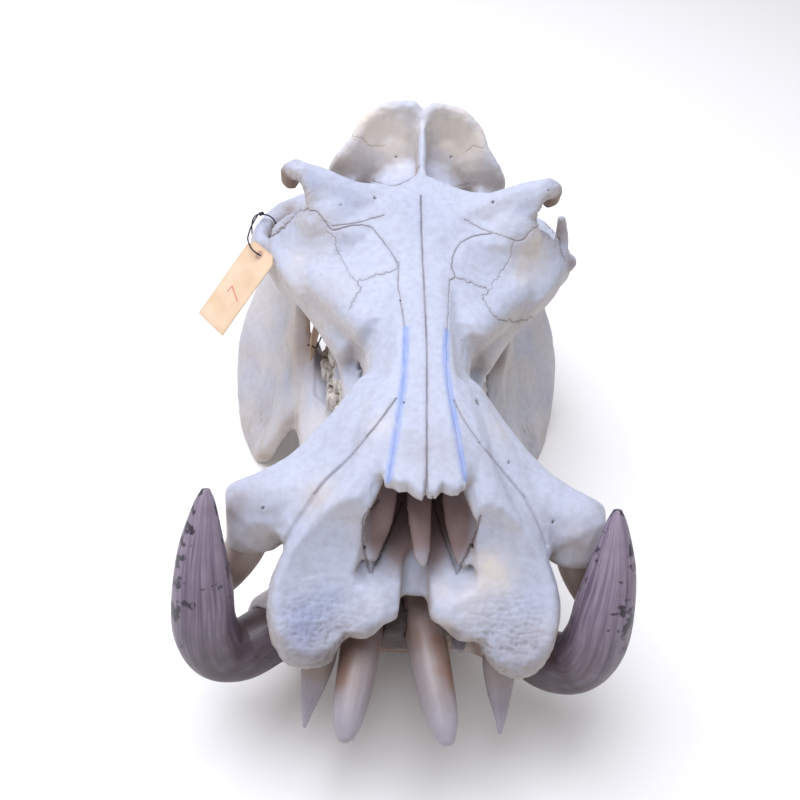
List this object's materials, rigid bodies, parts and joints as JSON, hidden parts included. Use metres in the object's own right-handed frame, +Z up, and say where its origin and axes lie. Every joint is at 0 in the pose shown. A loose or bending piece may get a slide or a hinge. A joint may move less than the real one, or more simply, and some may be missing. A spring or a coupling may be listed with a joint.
{
  "type": "hippopotamus skull",
  "caption": "Life-size skull of an adult hippopotamus, upper skull resting on its lower jaw, with curved tusks, spike-like front teeth and two museum tags on strings.",
  "frame": {"origin": "on the floor plane under the middle of the skull's bounding box, tags and strings left out", "axes": "+Z up; the snout points to -Y; +X is the animal's left"},
  "size_m": [0.5075, 0.7674, 0.4228],
  "materials": {
    "bone": "dry matte bone, pale ivory white with faint brown and bluish stains",
    "ivory": "satin cream to brown tooth, finely striated",
    "stained_ivory": "satin mauve-grey tusk with fine lengthwise striations and dark stains",
    "card": "uncoated buff card",
    "string": "black twisted string"
  },
  "bodies": {
    "root": {"cranium": "bone", "mandible": "bone", "upper_canine_right": "ivory", "upper_canine_left": "ivory", "upper_incisor_right": "ivory", "upper_incisor_left": "ivory", "tusk_right": "stained_ivory", "tusk_left": "stained_ivory", "inner_incisor_right": "ivory", "inner_incisor_left": "ivory", "outer_incisor_right": "ivory", "outer_incisor_left": "ivory", "tag_1": "card", "tag_2": "card", "tag_1_tie": "string", "tag_2_tie": "string", "tag_1_string": "string", "tag_2_string": "string"}
  },
  "joints": []
}
